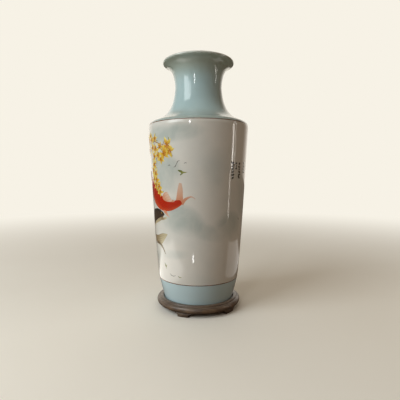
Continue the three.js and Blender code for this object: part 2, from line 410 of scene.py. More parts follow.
def make_line(name, height, material):
    """A line of brown enamel drawn round the vase on the wheel, lens-shaped in section."""
    half = LINE_WIDTH / 2
    shares = [step / 4 - 1 for step in range(9)]
    lifts = [(share, LINE_RELIEF * (1 - share * share) - LINE_EDGE) for share in shares]
    lifts += [(share, -LINE_SUNK) for share in shares[-2:0:-1]]
    places = [on_vase(0, height + share * half, lift) for share, lift in lifts]
    profile = [(-place.y, place.z) for place in places + places[:1]]
    line = turned(name, profile, WHEEL_SIDES, material)
    return finish_piece(line, "vase")


# ---- Glaze and enamel materials ----

def glaze_material():
    """Celadon at neck and foot, milky between with blue-grey washes, and bare biscuit where it stands."""
    material, tree, shader, place = new_material("milky glaze with celadon bands")
    axes = parts_of(tree, place)
    cloud = noise(tree, place, 16.0, 4.0, 0.55)
    fine = noise(tree, place, 140.0, 3.0, 0.6)

    def height_from(start, end):
        """Nought at the first height and one at the second."""
        return ramp_between(tree, axes["Z"], start, end)

    milky = mix_colours(tree, ramp_between(tree, cloud, 0.35, 0.7), (223, 219, 208), (214, 213, 204))
    washed = mix_colours(tree, wash_strength(tree, place, axes), milky, (170, 180, 172))
    celadon = mix_colours(tree, ramp_between(tree, cloud, 0.3, 0.72), (185, 206, 204), (171, 195, 195))
    above = height_from(UPPER_LINE_HEIGHT - LINE_BLUR, UPPER_LINE_HEIGHT + LINE_BLUR)
    below = height_from(LOWER_LINE_HEIGHT + LINE_BLUR, LOWER_LINE_HEIGHT - LINE_BLUR)
    pooled = height_from(vase_foot + 12 * MM, vase_foot + 3 * MM)
    # On the lip the celadon is tinted warmer and greyer (164, 173, 159): painted warm light from above, not
    # a colour of the glaze.
    painted_lip_light = height_from(cad_high.z - 34 * MM, cad_high.z - 8 * MM)
    shoulder = times(tree, above, height_from(UPPER_LINE_HEIGHT + 22 * MM, UPPER_LINE_HEIGHT + 4 * MM))
    for where, strength, tint in ((below, 0.8, (202, 224, 228)), (pooled, 0.5, (178, 204, 210)),
                                  (painted_lip_light, 0.9, (164, 173, 159)), (shoulder, 0.85, (167, 178, 169))):
        celadon = tinted(tree, celadon, where, strength, tint)
    outside = mix_colours(tree, maths(tree, "MAXIMUM", above, below), washed, celadon)
    thin_rim = height_from(cad_high.z - 3.2 * MM, cad_high.z - 0.8 * MM)
    outside = tinted(tree, outside, thin_rim, 0.75, (232, 232, 222))
    speck = ramp_between(tree, noise(tree, place, 900.0, 1.0), 0.80, 0.83)
    outside = tinted(tree, outside, speck, 0.35, (120, 104, 84))
    bare = height_from(vase_foot + 1.5 * MM, vase_foot + 0.9 * MM)
    biscuit = mix_colours(tree, fine, (226, 214, 194), (205, 188, 163))

    gloss = ramp_between(tree, cloud, 0.2, 0.8, 0.07, 0.12, "LINEAR")
    rough = add(tree, "ShaderNodeMix", {0: bare, 2: gloss, 3: 0.75}, data_type="FLOAT").outputs[0]
    wheel_marks = noise(tree, stretched(tree, place, (0.35, 0.35, 4.0)), 60.0, 2.0)
    normal = bump(tree, noise(tree, place, 24.0, 2.0, 0.4), 0.10 * MM)
    normal = bump(tree, wheel_marks, 0.012 * MM, normal)
    normal = bump(tree, fine, 0.004 * MM, normal)
    dress(tree, shader, mix_colours(tree, bare, outside, biscuit), rough, normal, coat=0.35, coat_rough=0.03)
    shader.inputs["IOR"].default_value = 1.52
    return material


def wash_strength(tree, place, axes):
    """How strong the blue-grey wash is: soft patches, broken up by the brush's own mottling."""
    angle = maths(tree, "ARCTAN2", axes["X"], times(tree, axes["Y"], -1.0))
    mottle = noise(tree, place, 34.0, 4.0, 0.55, 0.8)
    wobble = times(tree, minus(tree, noise(tree, place, 20.0, 3.0, 0.5, 0.6), 0.5), 1.6)
    total = 0.0
    for turn, height, wide, tall, tilt, strength in WASHES:
        across = times(tree, minus(tree, angle, math.radians(turn)), WASH_RADIUS)
        up = minus(tree, axes["Z"], DRAWING_BASE + height * MM)
        lean = math.radians(tilt)
        along = plus(tree, times(tree, across, math.cos(lean)), times(tree, up, math.sin(lean)))
        aside = minus(tree, times(tree, up, math.cos(lean)), times(tree, across, math.sin(lean)))
        reach = plus(tree, square(tree, over(tree, along, wide * MM)),
                     square(tree, over(tree, aside, tall * MM)))
        patch = ramp_between(tree, plus(tree, reach, wobble), 1.25, 0.0, 0.0, strength)
        total = maths(tree, "MAXIMUM", total, patch)
    return times(tree, total, ramp_between(tree, mottle, 0.25, 0.7, 0.45, 1.0))


# The painting's heights are measured from here, a little below the vase's foot.
DRAWING_BASE = vase_foot - 14 * MM
WASH_RADIUS = 66 * MM  # the washes' lengths are measured at this radius

# Brushed washes: turn round the vase and height of the middle, half length, half width, tilt, strength.
WASHES = (
    (-36, 247, 52, 13, 3, 0.9),
    (-46, 196, 34, 30, -10, 0.9),
    (-33, 141, 56, 23, -26, 0.9),
    (12, 118, 30, 12, -12, 0.5),
    (41, 126, 26, 20, -6, 0.75),
    (-30, 88, 28, 8, 6, 0.4),
    (66, 168, 20, 34, 10, 0.35),
    (18, 196, 18, 34, 0, 0.25),
    (120, 215, 50, 18, -10, 0.7),
    (150, 122, 46, 22, 24, 0.7),
    (-150, 225, 46, 20, 6, 0.7),
    (-130, 92, 54, 18, -14, 0.7),
    (-82, 78, 30, 10, 10, 0.5),
)


def line_material():
    """The iron-brown enamel of the two wheel lines, thin and a little uneven."""
    material, tree, shader, place = new_material("iron brown line enamel")
    uneven = noise(tree, place, 160.0, 4.0, 0.6)
    drawn = mix_colours(tree, ramp_between(tree, uneven, 0.35, 0.68), (92, 62, 44), (136, 98, 74))
    rough = ramp_between(tree, uneven, 0.3, 0.7, 0.16, 0.3)
    dress(tree, shader, drawn, rough, bump(tree, uneven, 0.02 * MM), coat=0.3, coat_rough=0.06)
    return material


# ---- Drawing in enamel ----

# The painting is laid out flat, in millimetres: across from the front, and height above the drawing's base.
# Across is measured at this radius, so that it is nearly a true length on the upper wall.
UNROLLED_RADIUS = 70 * MM
ENAMEL_SUNK = 0.1  # how deep the underside of the enamel lies in the glaze
FIN_RELIEF, FIN_STEPS = 0.12, 5  # a fin's thickness, and the steps between its edges' points
DOME_POWER = 2.5  # how flat a stroke is across its middle
SWELL_RATE = 8  # a stroke is at full thickness after an eighth of its length
LEAST_HALF_WIDTH = 0.02


def lay_on_vase(mesh):
    """Lays a flat drawing (across, minus lift, height) round the vase."""
    for vertex in mesh.vertices:
        across, depth, height = vertex.co
        vertex.co = on_vase(across / UNROLLED_RADIUS, DRAWING_BASE + height, -depth)


class Enamel:
    """Thin raised enamel, drawn stroke by stroke."""

    def __init__(self):
        self.verts, self.faces, self.uvs, self.tones = [], [], [], []

    def patch(self, left, right, relief=0.15, tone=0.0, columns=4, lift=0.0):
        """A domed patch between two edges, which have as many points as each other."""
        rows = len(left) - 1
        start = len(self.verts)
        for under in (False, True):
            for i in range(rows + 1):
                along = i / rows
                swell = min(1.0, SWELL_RATE * along, SWELL_RATE * (1 - along))
                for j in range(columns + 1):
                    side = j / columns
                    dome = lift + relief * swell * (1 - abs(2 * side - 1) ** DOME_POWER)
                    place = left[i].lerp(right[i], side)
                    self.verts.append((place.x, ENAMEL_SUNK if under else -dome, place.y))
                    self.uvs.append((along, side))
                    self.tones.append(tone)
        width = columns + 1
        below = width * (rows + 1)
        for i in range(rows):
            for j in range(columns):
                a = start + i * width + j
                self.faces.append((a, a + 1, a + width + 1, a + width))
                self.faces.append(tuple(reversed([v + below for v in self.faces[-1]])))
        rim = [(i, 0) for i in range(rows)] + [(rows, j) for j in range(columns)]
        rim += [(i, columns) for i in range(rows, 0, -1)] + [(0, j) for j in range(columns, 0, -1)]
        rim = [start + i * width + j for i, j in rim]
        for a, b in zip(rim, rim[1:] + rim[:1]):
            self.faces.append((a, b, b + below, a + below))

    def stroke(self, spine, relief=0.15, tone=0.0, columns=4, steps=6, lift=0.0):
        """A brush stroke along a spine of (across, height, half width) points."""
        points = smooth_through(spine, steps)
        left, right = [], []
        for i, point in enumerate(points):
            along = points[min(i + 1, len(points) - 1)] - points[max(i - 1, 0)]
            aside = Vector((-along.y, along.x)).normalized() * max(point.z, LEAST_HALF_WIDTH)
            left.append(point.xy + aside)
            right.append(point.xy - aside)
        self.patch(left, right, relief, tone, columns, lift)

    def fan(self, front, rear, columns, tone=0.0):
        """A fin or tail lobe between its front and rear edges, both drawn from root to tip."""
        edges = [smooth_through(edge, FIN_STEPS) for edge in (front, rear)]
        self.patch(*edges, FIN_RELIEF, tone, columns)

    def dab(self, across, height, radius, relief=0.2, tone=0.0, lift=0.0):
        """A round dab of the brush."""
        edges = [[], []]
        for step in range(9):
            angle = math.pi * step / 8
            middle = height + radius * math.cos(angle)
            edges[0].append(Vector((across - radius * math.sin(angle), middle)))
            edges[1].append(Vector((across + radius * math.sin(angle), middle)))
        self.patch(*edges, relief, tone, 6, lift)

    def mesh(self, name):
        """The drawing so far as a flat mesh in metres."""
        made = bpy.data.meshes.new(name)
        made.from_pydata([Vector(v) * MM for v in self.verts], [], self.faces)
        layer = made.uv_layers.new(name="strokes")
        for loop in made.loops:
            layer.data[loop.index].uv = self.uvs[loop.vertex_index]
        made.attributes.new("tone", "FLOAT", "POINT").data.foreach_set("value", self.tones)
        return made

    def fire(self, name, material):
        """Lays the drawing on the vase as a finished piece."""
        mesh = self.mesh(name)
        lay_on_vase(mesh)
        face_outwards(mesh)
        return finish_piece(new_object(name, mesh), "vase", material, 60)


# ---- Enamel colours ----

def enamel_material(name, root, tip, other, rays=0, scales=False, edge=None):
    """One enamel: from root to tip along a stroke, and towards its other colour by the stroke's tone.

    rays is how many fine lines run along a fin, scales draws a fish's, and edge colours the far side."""
    material, tree, shader, place = new_material(name)
    stroke = add(tree, "ShaderNodeUVMap", uv_map="strokes").outputs[0]
    axes = parts_of(tree, stroke)
    along, side = axes["X"], axes["Y"]
    tone = add(tree, "ShaderNodeAttribute", attribute_name="tone").outputs["Fac"]
    uneven = noise(tree, place, 190.0, 4.0, 0.6, 0.3)
    cloudy = minus(tree, noise(tree, place, 60.0, 2.0, 0.5), 0.5)
    run = plus(tree, along, times(tree, cloudy, 0.5))
    drawn = mix_colours(tree, ramp_between(tree, run, 0.05, 0.95), root, tip)
    if edge:
        shade = plus(tree, side, times(tree, cloudy, 0.35))
        drawn = mix_colours(tree, ramp_between(tree, shade, 0.55, 0.98), drawn, edge)
    drawn = mix_colours(tree, tone, drawn, other)
    height = uneven
    if rays:
        ray = ramp_between(tree, maths(tree, "SINE", times(tree, side, rays * math.tau)), 0.45, 0.95)
        drawn = tinted(tree, drawn, ray, 0.28, other)
        height = plus(tree, height, times(tree, ray, 0.6))
    if scales:
        scale_edge = fish_scales(tree, along, side)
        drawn = tinted(tree, drawn, scale_edge, 0.4, other)
        height = plus(tree, height, times(tree, scale_edge, 0.8))
    skin = tinted(tree, drawn, ramp_between(tree, uneven, 0.52, 0.75), 0.22, tip)
    rough = ramp_between(tree, uneven, 0.3, 0.7, 0.12, 0.24)
    dress(tree, shader, skin, rough, bump(tree, height, 0.03 * MM), coat=0.35, coat_rough=0.05)
    return material


def fish_scales(tree, along, side):
    """Rows of overlapping half rounds along a fish, one in its scales' edges and nought between them."""
    rows, count = 9.0, 30.0
    lane = times(tree, side, rows)
    shift = times(tree, maths(tree, "MODULO", maths(tree, "FLOOR", lane), 2.0), 0.5)
    step = maths(tree, "FRACT", plus(tree, times(tree, along, count), shift))
    aside = minus(tree, maths(tree, "FRACT", lane), 0.5)
    bow = plus(tree, step, times(tree, square(tree, aside), 2.4))
    return ramp_between(tree, maths(tree, "ABSOLUTE", minus(tree, bow, 0.8)), 0.2, 0.05)


# ---- The painting ----

def fire_fish_body(name, spine, columns, material):
    """A fish's body, thick in the middle, from its nose to the root of its tail."""
    body = Enamel()
    body.stroke(spine, relief=0.22, columns=columns, steps=8)
    body.fire(name, material)


def paint_red_fish():
    fire_fish_body(
        "red_koi_body",
        [(-113, 205, 0.6), (-109, 201, 4), (-102, 192, 7.4), (-92, 180.5, 9.6), (-80, 169, 10.8),
         (-68, 160, 10.4), (-56, 154.3, 8.7), (-44, 152.6, 6.6), (-33, 155.2, 5.2), (-26, 158.6, 4.4),
         (-22.5, 160, 3.2)],
        16, enamel_material("vermilion koi", (168, 28, 7), (186, 42, 11), (122, 18, 6),
                            scales=True, edge=(196, 74, 36)))

    fins = Enamel()
    fins.fan([(-33, 157), (-31, 165), (-29, 175), (-26.5, 183.5)],
             [(-20.5, 154.5), (-21.4, 165), (-21.4, 175), (-22.8, 182.8)], 10)
    fins.fan([(-24, 158.5), (-19, 163.6), (-10, 166.4), (-4, 163)],
             [(-21.5, 154.6), (-16.5, 160.8), (-9.5, 164.7), (-4.5, 162.2)], 6)
    fins.fan([(-60, 162), (-55, 168), (-50.5, 171), (-46.5, 171.3)],
             [(-48, 154), (-44, 155.5), (-40, 156.3), (-36.5, 157.5)], 8, 0.0)
    fins.fan([(-41, 158.5), (-39, 160.5), (-37, 161.5), (-35, 160.5)],
             [(-35, 157.2), (-34.4, 158), (-34, 159), (-34, 159.6)], 4, 0.2)
    fins.fan([(-58, 147.5), (-54, 143), (-49, 139.5), (-44.5, 137.6)],
             [(-50, 146.6), (-48.5, 144), (-46.5, 141), (-44, 138.4)], 6, 0.1)
    fins.fan([(-97, 175), (-90, 166), (-84, 160), (-80, 154)],
             [(-90, 170), (-86, 164), (-82, 158), (-79.4, 153.6)], 6, 0.1)
    fins.fire("red_koi_fins", enamel_material(
        "pale orange fins", (206, 142, 106), (216, 186, 162), (200, 98, 66), rays=5))

    face = Enamel()
    face.stroke([(-101, 200, 0.1), (-98, 196, 0.5), (-98, 190, 0.5), (-101, 185, 0.1)], 0.3, lift=0.2)
    face.stroke([(-112, 204, 0.3), (-116, 203, 0.2), (-118, 199, 0.05)], 0.1)
    face.stroke([(-110, 206, 0.3), (-113, 209, 0.2), (-117, 209, 0.05)], 0.1)
    face.dab(-105, 199, 1.2, 0.35, lift=0.2)
    face.fire("red_koi_eye_and_gill", enamel_material(
        "dark red line", (84, 18, 10), (60, 14, 8), (30, 12, 8)))


def paint_grey_fish():
    fire_fish_body(
        "grey_koi_body",
        [(-54.5, 140.5, 0.5), (-58, 141, 3.2), (-65, 140.6, 6.8), (-76, 138.6, 9.4), (-90, 134, 10.4),
         (-102, 126, 8.8), (-106, 116, 6.4), (-101, 109, 4.6), (-92, 106.4, 3.6)],
        14, enamel_material("ink grey koi", (66, 50, 38), (40, 36, 30), (24, 21, 18),
                            scales=True, edge=(34, 32, 30)))

    belly = Enamel()
    belly.stroke([(-57, 138, 0.2), (-63, 134.6, 1.8), (-72, 131.4, 2.2), (-84, 127, 1.4), (-92, 122, 0.2)],
                 0.1, lift=0.24)
    belly.fan([(-61, 136.5), (-56, 136.5), (-52, 137.5), (-49, 137)],
              [(-64, 133), (-58, 133), (-53, 134.2), (-49.4, 136)], 6)
    belly.fan([(-96, 110), (-78, 110.5), (-62, 114.5), (-50, 114.5)],
              [(-94, 101), (-80, 98), (-66, 98.5), (-51, 112.5)], 10, 0.1)
    belly.fan([(-84, 104), (-71, 101.5), (-62.5, 95.5), (-56.5, 86.5)],
              [(-86, 98), (-73, 97.5), (-64.2, 92.8), (-57.4, 85.6)], 8, 0.6)
    belly.fire("grey_koi_fins", enamel_material(
        "olive gold fins", (140, 118, 84), (206, 194, 158), (74, 62, 52), rays=5))

    eye = Enamel()
    eye.dab(-60.5, 142.5, 1.1, 0.3, lift=0.22)
    eye.fire("grey_koi_eye", enamel_material(
        "gold eye", (176, 138, 60), (150, 112, 44), (24, 20, 16)))


def paint_gold_fish():
    """A third fish on the far side, which swims up towards the blossom."""
    fire_fish_body(
        "gold_koi_body",
        [(-197, 178, 0.6), (-194, 173, 5), (-188, 163, 9), (-184, 150, 10.6), (-186, 136, 9.6),
         (-193, 123, 7), (-203, 115, 4.6), (-210, 112, 3.2)],
        14, enamel_material("old gold koi", (202, 128, 34), (218, 152, 56), (140, 74, 20),
                            scales=True, edge=(236, 206, 140)))

    fins = Enamel()
    fins.fan([(-209, 115), (-219, 119), (-227, 126), (-232, 135)],
             [(-211, 110), (-221, 112), (-229, 119), (-233, 134)], 8)
    fins.fan([(-209, 114), (-220, 110), (-230, 103), (-235, 94)],
             [(-211, 109), (-221, 103), (-229, 97), (-235.6, 93)], 8)
    fins.fan([(-180, 163), (-174, 160), (-170, 153), (-169, 146)],
             [(-178, 152), (-174, 149), (-171, 146), (-169.4, 144)], 8)
    fins.fan([(-191, 140), (-199, 143), (-205, 141), (-208, 137)],
             [(-192, 133), (-198, 135), (-204, 136), (-208, 136)], 6)
    fins.fire("gold_koi_fins", enamel_material(
        "pale gold fins", (214, 160, 84), (232, 206, 156), (176, 110, 50), rays=5))

    eye = Enamel()
    eye.dab(-190, 168, 1.1, 0.3, lift=0.2)
    eye.fire("gold_koi_eye", enamel_material("black eye", *[(26, 20, 16)] * 3))


# Flowers: across, height, and the length of a petal.
FLOWERS = (
    (-43.5, 232, 9.0), (-40, 224.5, 7.8), (-49.5, 221.5, 9.6), (-56, 214.5, 6.8), (-62, 219.5, 6.8),
    (-57, 231, 6.0), (-68.5, 242.5, 6.2), (-79, 241, 6.2), (-68, 229, 6.8), (-73, 219, 7.2),
    (-77, 230.5, 6.2), (-84, 247, 5.2), (-74, 208, 7.0), (-79, 200.5, 6.8), (-71, 196, 7.4),
    (-78, 189, 7.0), (-69.5, 187, 7.4), (-72, 180, 6.6), (-64, 178.5, 7.2), (-61.5, 171.5, 6.4),
    (-92, 240, 6.4), (-102, 246, 5.8), (-95, 229, 5.8), (-113, 241, 6.6), (-107, 229, 5.8),
    (-122, 246, 5.8), (-133, 238, 6.2), (-129, 229, 5.4), (-145, 243, 6.4), (-150, 231, 5.6),
    (-143, 220, 5.6), (-149, 211, 5.2), (-146, 202, 5.0), (-160, 238, 5.8), (-173, 244, 5.4),
    (-185, 237, 5.0),
)

# Twigs: across, height and half width along each.
TWIGS = (
    ((-228, 226, 1.9), (-205, 236, 1.7), (-180, 240, 1.5), (-150, 236, 1.4), (-124, 243, 1.3),
     (-104, 243, 1.2), (-88, 243, 1.0), (-72, 239.5, 0.8), (-58, 235, 0.6), (-44, 232, 0.3)),
    ((-90, 243, 0.8), (-86, 230, 0.8), (-82, 214, 0.7), (-79, 202, 0.6), (-76, 190, 0.5), (-66, 178, 0.3)),
    ((-73, 239, 0.6), (-67, 229, 0.5), (-59, 222, 0.45), (-50, 219, 0.25)),
    ((-66, 216, 0.45), (-66.5, 210, 0.4), (-67, 205.5, 0.2)),
    ((-39, 228, 0.5), (-37.4, 222, 0.7), (-35, 217.5, 0.2)),
    ((-47, 240, 0.2), (-50.5, 234, 0.45), (-53, 228, 0.3)),
    ((-146, 236, 0.8), (-150, 224, 0.7), (-145, 212, 0.6), (-149, 198, 0.3)),
    ((-106, 243, 0.6), (-110, 232, 0.5), (-104, 222, 0.3)),
)


def rosette_tree():
    """Sets a ring of petals on every flower's point, each turned and sized a little differently."""
    tree, given = new_tree("petals round each flower", {
        "Flowers": "Geometry", "Petal": "Object", "Petals": "Int", "Unevenness": "Float", "Overlap": "Float",
        "Seed": "Int", "Material": "Material"}, "Blossom")
    copies = add(tree, "GeometryNodeDuplicateElements", {
        "Geometry": given["Flowers"], "Amount": given["Petals"]}, domain="POINT").outputs
    size, turn = (add(tree, "GeometryNodeInputNamedAttribute", {"Name": name}, data_type="FLOAT").outputs[0]
                  for name in ("size", "turn"))
    least = times(tree, given["Unevenness"], -1.0)
    chance = add(tree, "FunctionNodeRandomValue", {
        2: least, 3: given["Unevenness"], 8: given["Seed"]}, data_type="FLOAT").outputs[1]
    share = over(tree, plus(tree, copies["Duplicate Index"], chance), given["Petals"])
    angle = plus(tree, turn, times(tree, share, math.tau))
    rise = times(tree, times(tree, copies["Duplicate Index"], given["Overlap"]), -1.0)
    placed = add(tree, "GeometryNodeSetPosition", {
        "Geometry": copies["Geometry"], "Offset": vector_of(tree, Y=rise)}).outputs[0]
    petal = add(tree, "GeometryNodeObjectInfo", {"Object": given["Petal"]}).outputs["Geometry"]
    length = times(tree, size, plus(tree, times(tree, chance, 0.6), 1.0))
    set_round = add(tree, "GeometryNodeInstanceOnPoints", {
        "Points": placed, "Instance": petal, "Rotation": vector_of(tree, Y=angle),
        "Scale": vector_of(tree, X=length, Y=1.0, Z=length)}).outputs[0]
    return end_tree(tree, set_round, given["Material"])


def paint_blossom():
    """Five-petalled yellow flowers, with their stamens, on hanging twigs."""
    chance = random.Random(11)
    petal = Enamel()
    petal.stroke([(0.06, 0, 0.08), (0.3, 0, 0.2), (0.58, 0, 0.27), (0.88, 0, 0.14), (1.16, 0, 0.01)],
                 relief=0.26, steps=3)
    stamen = Enamel()
    stamen.stroke([(0.02, 0, 0.03), (0.22, 0, 0.022), (0.33, 0, 0.02)], relief=0.16, steps=1, lift=0.2)
    stamen.dab(0.36, 0, 0.055, relief=0.22, lift=0.2)
    yellow = enamel_material("blossom yellow", (206, 138, 14), (230, 210, 92), (184, 162, 46),
                             rays=1)
    rust = enamel_material("stamen rust", (170, 96, 26), (150, 74, 18), (120, 60, 20))
    turns = [chance.uniform(0, math.tau) for _ in FLOWERS]
    tree = rosette_tree()
    for name, part, petals, material in (
            ("blossom_petals", petal, 5, yellow), ("blossom_stamens", stamen, 7, rust)):
        helper = new_object("helper", part.mesh("helper"))
        base = bpy.data.meshes.new(name)
        base.from_pydata([(across * MM, 0, height * MM) for across, height, _ in FLOWERS], [], [])
        for label, values in (("size", [size for *_, size in FLOWERS]), ("turn", turns)):
            base.attributes.new(label, "FLOAT", "POINT").data.foreach_set("value", values)
        flowers = grown_by(tree, name, base, {"Petal": helper, "Petals": petals, "Unevenness": 0.22,
                                              "Overlap": 0.025 * MM, "Seed": 5, "Material": material})
        bpy.data.objects.remove(helper)
        lay_on_vase(flowers.data)
        face_outwards(flowers.data)
        finish_piece(flowers, "vase", sharp=60)

    twigs = Enamel()
    for twig in TWIGS:
        twigs.stroke(twig, 0.14)
    for across, height, size in FLOWERS:
        turn = chance.uniform(0.6, 2.6)
        root, tip = Vector((across, height)), Vector((math.cos(turn), math.sin(turn))) * size
        twigs.stroke([(*root, 0.35), (*(root + tip / 2), 0.3), (*(root + tip), 0.1)], 0.1)
    twigs.fire("blossom_twigs", enamel_material(
        "twig brown", (128, 92, 48), (150, 112, 66), (96, 66, 34)))

    leaves = Enamel()
    for across, height, size in FLOWERS:
        for _ in range(2):
            turn = chance.uniform(0, math.tau)
            far = size * chance.uniform(1.0, 1.35)
            near = size * 0.55
            leaves.stroke([(across + near * math.cos(turn), height + near * math.sin(turn), 0.1),
                           (across + 0.8 * far * math.cos(turn), height + 0.8 * far * math.sin(turn), 0.5),
                           (across + far * math.cos(turn + 0.2), height + far * math.sin(turn + 0.2), 0.05)],
                          0.1, tone=chance.random() * 0.6)
    for spine in (
            [(-28, 199.6, 0.3), (-25, 198.6, 1.3), (-21, 196.8, 1.1), (-14.5, 196.8, 0.1)],
            [(-25, 193.2, 0.2), (-22.5, 195, 1.0), (-19.5, 196.6, 0.3)],
            [(-23.5, 199.8, 0.1), (-22.4, 198.2, 0.9), (-20.5, 196.8, 0.3)],
            [(-61, 74, 0.1), (-59.5, 70, 1.1), (-58, 65, 0.2)],
            [(-56, 72, 0.1), (-57.5, 69, 0.7), (-58.5, 66.5, 0.2)],
            [(-34, 58.4, 0.1), (-31, 57, 0.6), (-27, 57, 0.1)]):
        leaves.stroke(spine, 0.12)
    leaves.fire("leaves", enamel_material(
        "leaf green", (92, 104, 44), (150, 152, 82), (126, 104, 58)))


# Columns of falling buds: across, top, foot, and how bold the brush was.
INK_COLUMNS = ((50.7, 211, 189, 3.2), (57.6, 210.5, 201, 2.4), (65.0, 210.5, 191, 2.8), (80, 211, 199, 3.4))


def paint_ink():
    """Ink work: drifting stalks beside the blossom, and four loose columns of falling buds."""
    chance = random.Random(23)
    ink = Enamel()
    for spine in (
            [(-43, 205.5, 0.1), (-41, 206.4, 0.5), (-38.8, 206, 0.1)],
            [(-34.5, 203.4, 0.1), (-31.5, 204.4, 0.5), (-29.6, 207.6, 0.35), (-27.4, 211, 0.45),
             (-24.5, 211.8, 0.1)],
            [(-19, 208, 0.1), (-17, 209, 0.4), (-15, 208.6, 0.1)],
            [(-50, 60.5, 0.1), (-47, 58, 0.35), (-42, 57.4, 0.35), (-38, 59, 0.1)],
            [(69, 136, 0.1), (71, 134, 0.6), (73, 131.5, 0.1)]):
        ink.stroke(spine, 0.08, tone=0.55)
    for across, top, foot, bold in INK_COLUMNS:
        height = top
        while height > foot:
            size = chance.uniform(0.8, 1.25) * bold
            lean = chance.uniform(-0.9, 0.9)
            drop = chance.uniform(2.6, 3.8)
            bud = [(across + lean, height, 0.2), (across, height - drop / 2, size),
                   (across - lean * 0.8, height - drop, 0.15)]
            ink.stroke(bud, 0.1, tone=chance.random() * 0.25, steps=3)
            height -= drop + chance.uniform(0.1, 0.9)
            across += chance.uniform(-0.5, 0.5)
    ink.fire("ink_sprays", enamel_material(
        "brushed ink", (30, 24, 20), (48, 40, 34), (132, 130, 118)))


def paint_water_weed():
    """Grey-green reeds and ripples near the foot of the painting, on its far side."""
    chance = random.Random(37)
    weed = Enamel()
    for across in range(-235, -150, 9):
        x, y = across + chance.uniform(-2, 2), 66 + chance.uniform(-2, 2)
        bend = chance.uniform(-7, 7)
        tall = chance.uniform(18, 40)
        reed = [(x, y, 0.3), (x + bend * 0.3, y + tall * 0.4, 0.75),
                (x + bend * 0.7, y + tall * 0.8, 0.45), (x + bend, y + tall, 0.05)]
        weed.stroke(reed, 0.1, tone=chance.random())
    for across in range(110, 215, 15):
        weed.stroke([(across, 96, 0.05), (across + 3, 99 + chance.uniform(-2, 2), 0.5),
                     (across + 9, 98, 0.4), (across + 13, 101, 0.05)], 0.08, tone=1.0)
    weed.fire("water_weed", enamel_material(
        "weed green", (112, 122, 84), (160, 164, 128), (134, 140, 132)))


# ---- The stand ----

RING_LOW, RING_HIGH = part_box("stand_ring")
BOARD_LOW, BOARD_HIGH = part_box("stand_floor_board")
GLUE_GAP = 0.3 * MM
BEAD_RADIUS, BEAD_FLAT, BEAD_SINK = 2.2 * MM, 2.8 * MM, 0.4 * MM
GROOVE_WIDTH, GROOVE_DEPTH = 0.6 * MM, 0.5 * MM
LEDGE_WIDTH = 6.3 * MM
RECESS_CHAMFER = 0.6 * MM
RING_EASE, BOARD_EASE = 0.25 * MM, 0.3 * MM  # how far their corners are rounded
BOARD_CHAMFER = 0.5 * MM
SCRAPE_WIDTH, SCRAPE_DEPTH = 1.0 * MM, 0.25 * MM
SCRAPES = (0.82, 0.5, 0.2)  # where the lathe scraped the board, as shares of its radius
BULGE_RADIUS = (RING_HIGH.z - BEAD_RADIUS + BEAD_SINK - RING_LOW.z) / 2
recess_radius = BOARD_HIGH.x + GLUE_GAP
bead_centre = (recess_radius + BEAD_FLAT, RING_HIGH.z - BEAD_RADIUS)
bulge_centre = (RING_HIGH.x - BULGE_RADIUS, RING_LOW.z + BULGE_RADIUS)


def make_ring(material):
    """The turned ring: an eased inner edge, the bead, the sunk line and the large moulding."""
    groove_outer = bead_centre[0] + BEAD_RADIUS + GROOVE_WIDTH
    bulge_top = RING_LOW.z + 2 * BULGE_RADIUS
    bulge_end = math.degrees(math.acos((groove_outer - bulge_centre[0]) / BULGE_RADIUS))
    ledge_radius = recess_radius - LEDGE_WIDTH
    profile = [
        (ledge_radius, RING_LOW.z),
        *arc_points(bulge_centre, BULGE_RADIUS, -90, bulge_end, 40),
        (groove_outer, bulge_top - GROOVE_DEPTH),
        (bead_centre[0] + BEAD_RADIUS, bulge_top - GROOVE_DEPTH),
        *arc_points(bead_centre, BEAD_RADIUS, 0, 90, 14),
        (recess_radius + RECESS_CHAMFER, RING_HIGH.z),
        (recess_radius, RING_HIGH.z - RECESS_CHAMFER),
        (recess_radius, BOARD_LOW.z),
        (ledge_radius, BOARD_LOW.z),
        (ledge_radius, RING_LOW.z),
    ]
    eased = rounded(profile, RING_EASE)
    eased[-1] = eased[0]
    ring = turned("stand_turned_ring", eased, LATHE_SIDES, material)
    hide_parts("stand_ring")
    return finish_piece(ring, "stand")


def make_floor_board(material):
    """The board let into the ring, with three shallow scraped rings where the lathe left them."""
    edge, high = BOARD_HIGH.x, BOARD_HIGH.z
    top = [(edge, high - BOARD_CHAMFER), (edge - BOARD_CHAMFER, high)]
    for share in SCRAPES:
        middle, half = edge * share, SCRAPE_WIDTH / 2
        top += [(middle + half, high), (middle, high - SCRAPE_DEPTH), (middle - half, high)]
    low = BOARD_LOW.z
    profile = [(0, low), (edge - BOARD_CHAMFER, low), (edge, low + BOARD_CHAMFER), *top, (0, high)]
    board = turned("stand_let_in_board", rounded(profile, BOARD_EASE), LATHE_SIDES, material)
    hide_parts("stand_floor_board")
    return finish_piece(board, "stand")


